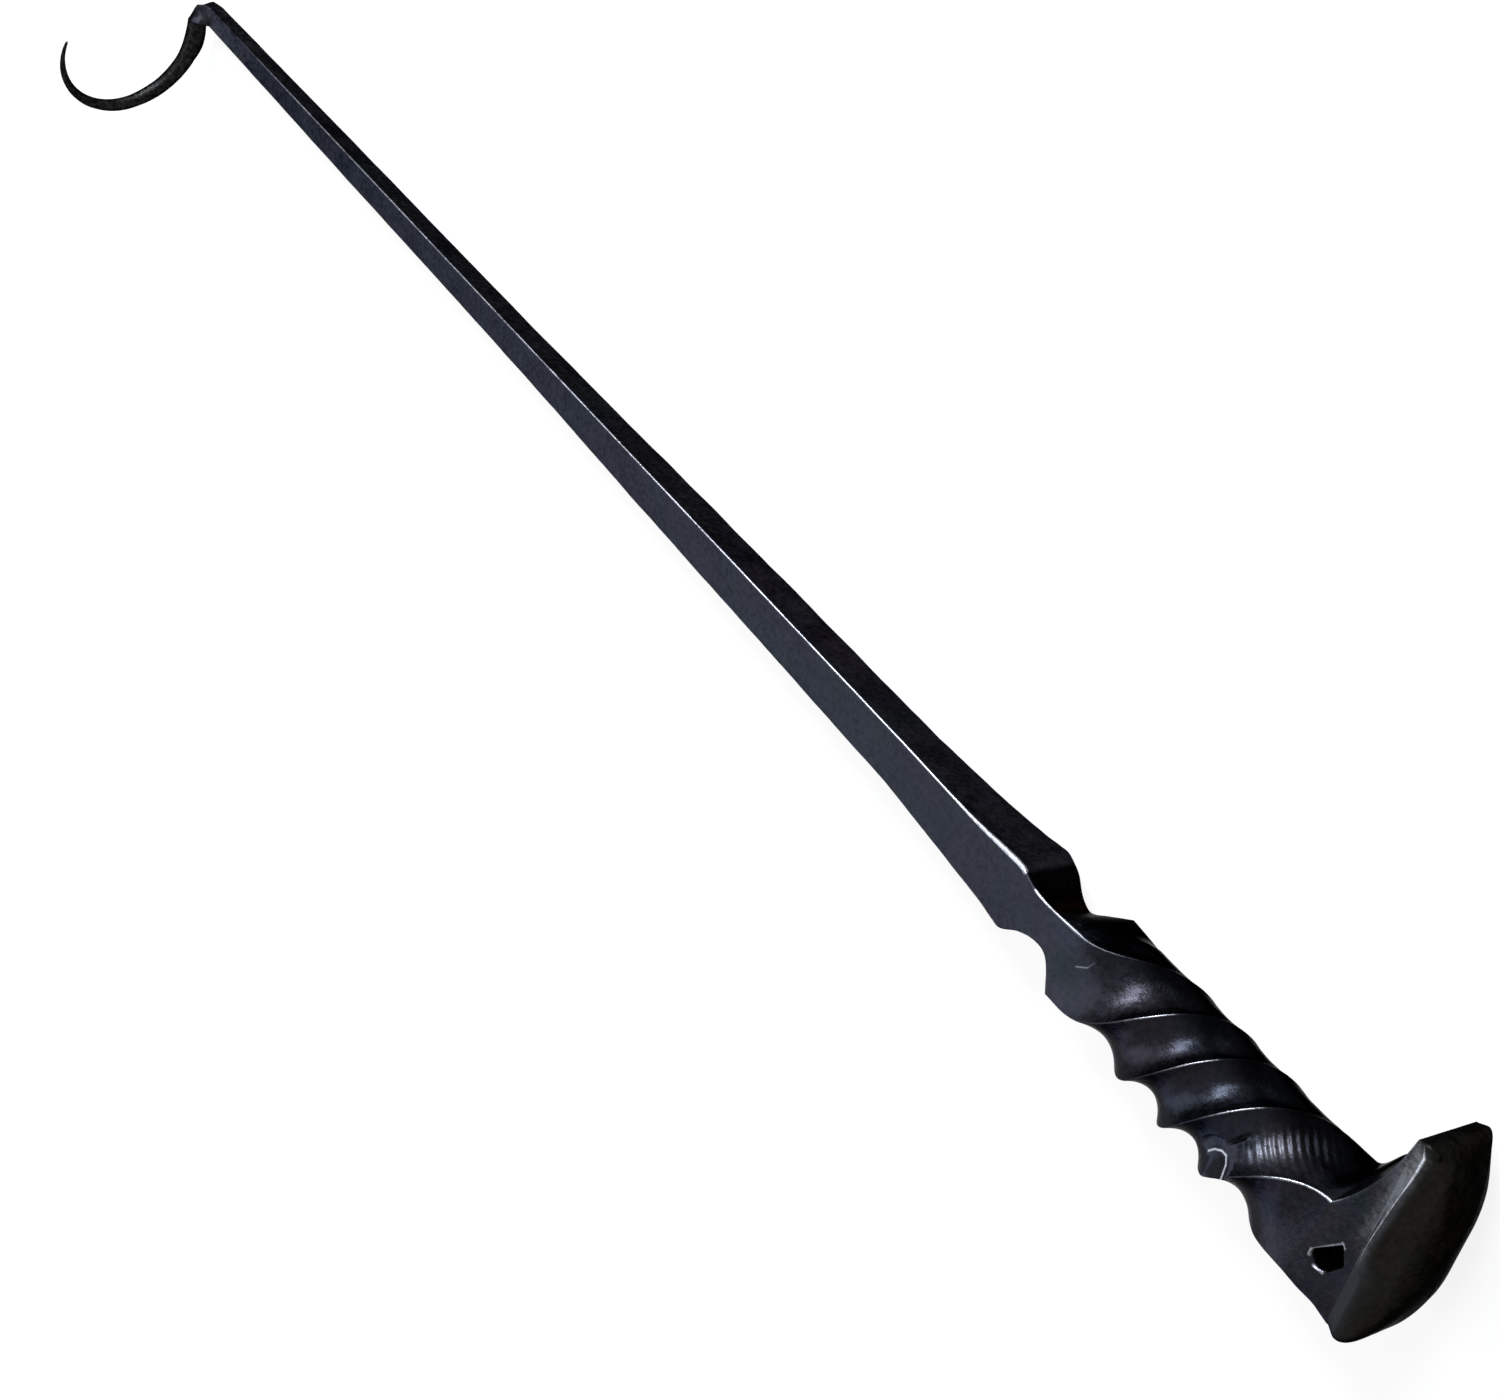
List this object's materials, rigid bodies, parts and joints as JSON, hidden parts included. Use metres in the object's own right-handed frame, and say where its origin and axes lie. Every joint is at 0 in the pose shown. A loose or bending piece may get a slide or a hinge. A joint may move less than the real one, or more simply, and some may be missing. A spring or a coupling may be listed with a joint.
{
  "type": "meat hook",
  "caption": "Hand-forged meat hook with a long tapered shaft, a needle-pointed side hook, a twisted grip and a mushroomed spike head with a hanging hole.",
  "frame": {"origin": "centre of the hanging hole, on the hole's axis half way through the square bar", "axes": "+X along the bar from the hook towards the head, +Y towards the overhanging lip of the head, +Z along the hanging hole, out of the face that carries the worn mouth, which is also the side that the hook curls up to; the tool lies on a surface below it on the flat belly of its head and the end of its shaft"},
  "size_m": [0.459, 0.0592, 0.0529],
  "materials": {
    "hook_steel": "dark forge scale with a dull sheen, worn thin at the point",
    "shaft_steel": "blue-black forge scale on drawn-out square faces, bright along the arrises",
    "grip_steel": "waxed black forge scale, satin on the twist, bright where it is worn",
    "head_steel": "hammered olive-black scale with bright burrs round the rim"
  },
  "bodies": {
    "root": {"hook_point": "hook_steel", "hook_bow": "hook_steel", "hook_neck": "hook_steel", "hook_elbow": "hook_steel", "shaft": "shaft_steel", "shoulder": "shaft_steel", "twisted_grip": "grip_steel", "butt_block": "grip_steel", "spike_head": "head_steel"}
  },
  "joints": []
}
